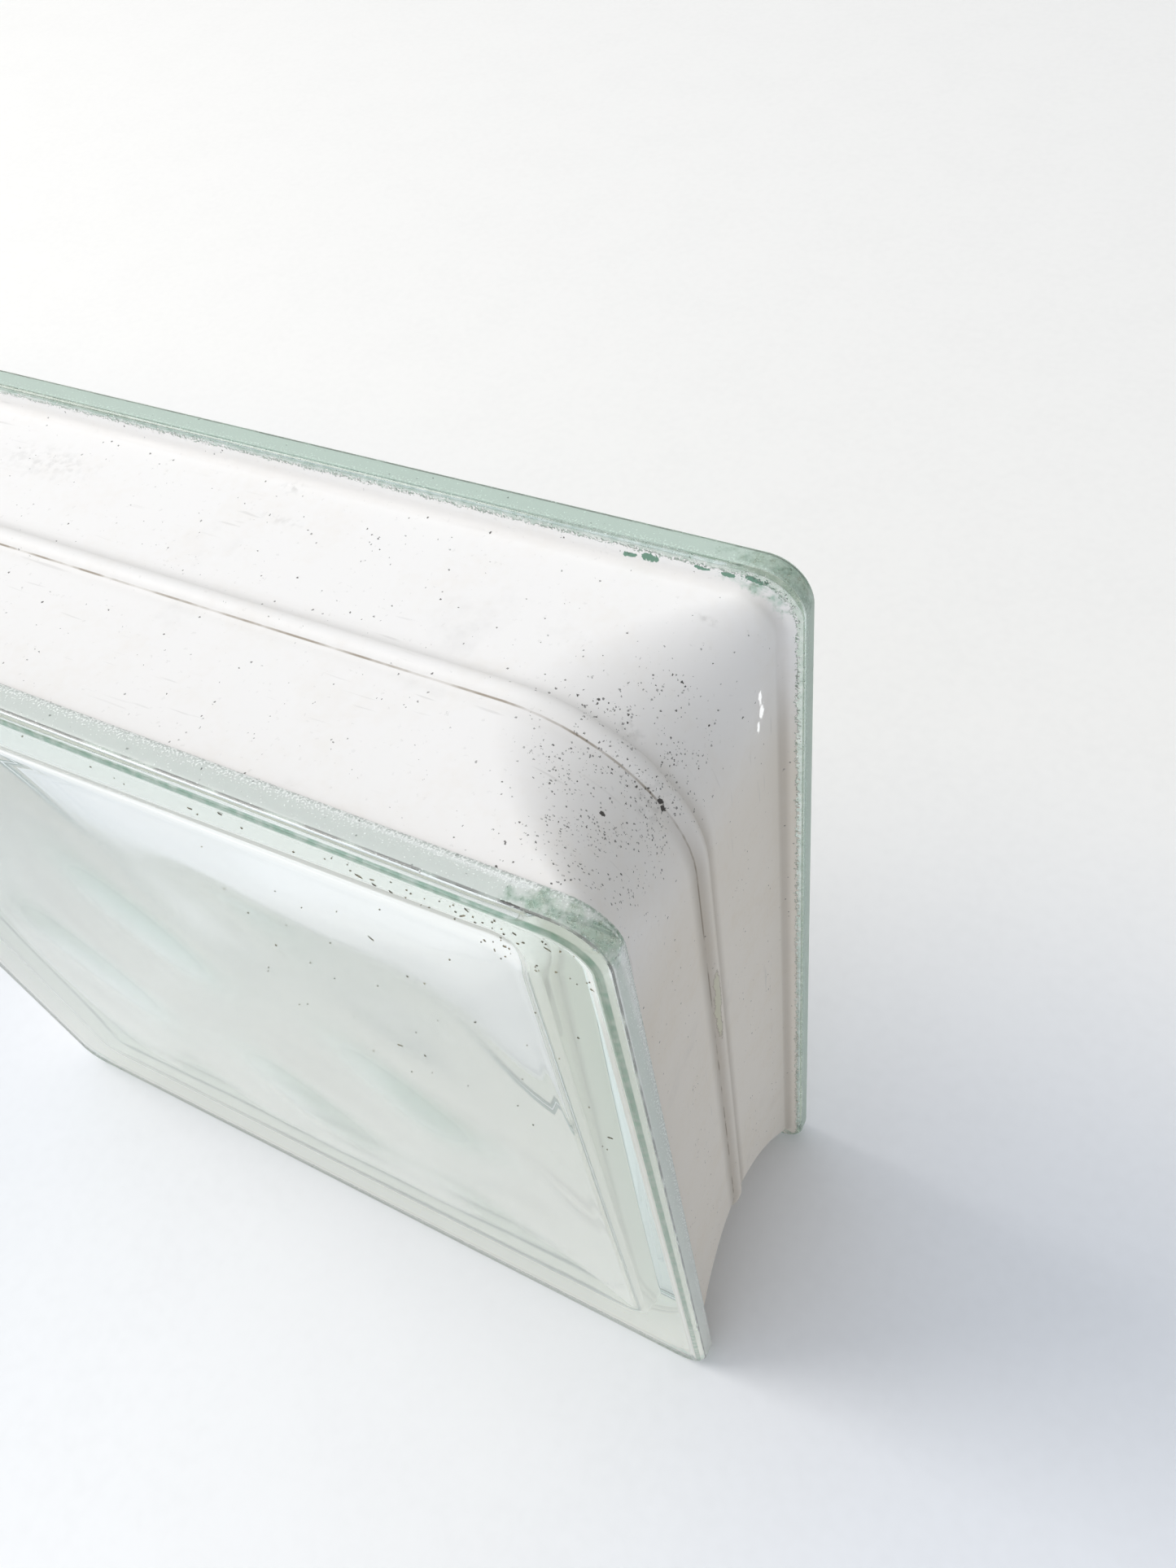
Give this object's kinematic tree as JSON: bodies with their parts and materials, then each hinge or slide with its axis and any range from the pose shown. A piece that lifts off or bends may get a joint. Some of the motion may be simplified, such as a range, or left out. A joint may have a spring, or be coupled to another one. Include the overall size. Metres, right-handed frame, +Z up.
{
  "type": "glass block",
  "caption": "Hollow square glass building block with flat panes, a wavy relief inside and white-coated mortar channels round its edges.",
  "frame": {"origin": "on the floor under the middle of the block as it stands on its bottom edge", "axes": "+X along the faces to the right, +Y through the thickness from the front face to the back face, +Z up"},
  "size_m": [0.24, 0.08, 0.24],
  "materials": {
    "glass": "clear pressed glass, pale green in its thickness",
    "edge_coat": "matt white coat, scuffed and specked with dirt"
  },
  "bodies": {
    "root": {"glass_block": "glass", "edge_coating": "edge_coat"}
  },
  "joints": []
}
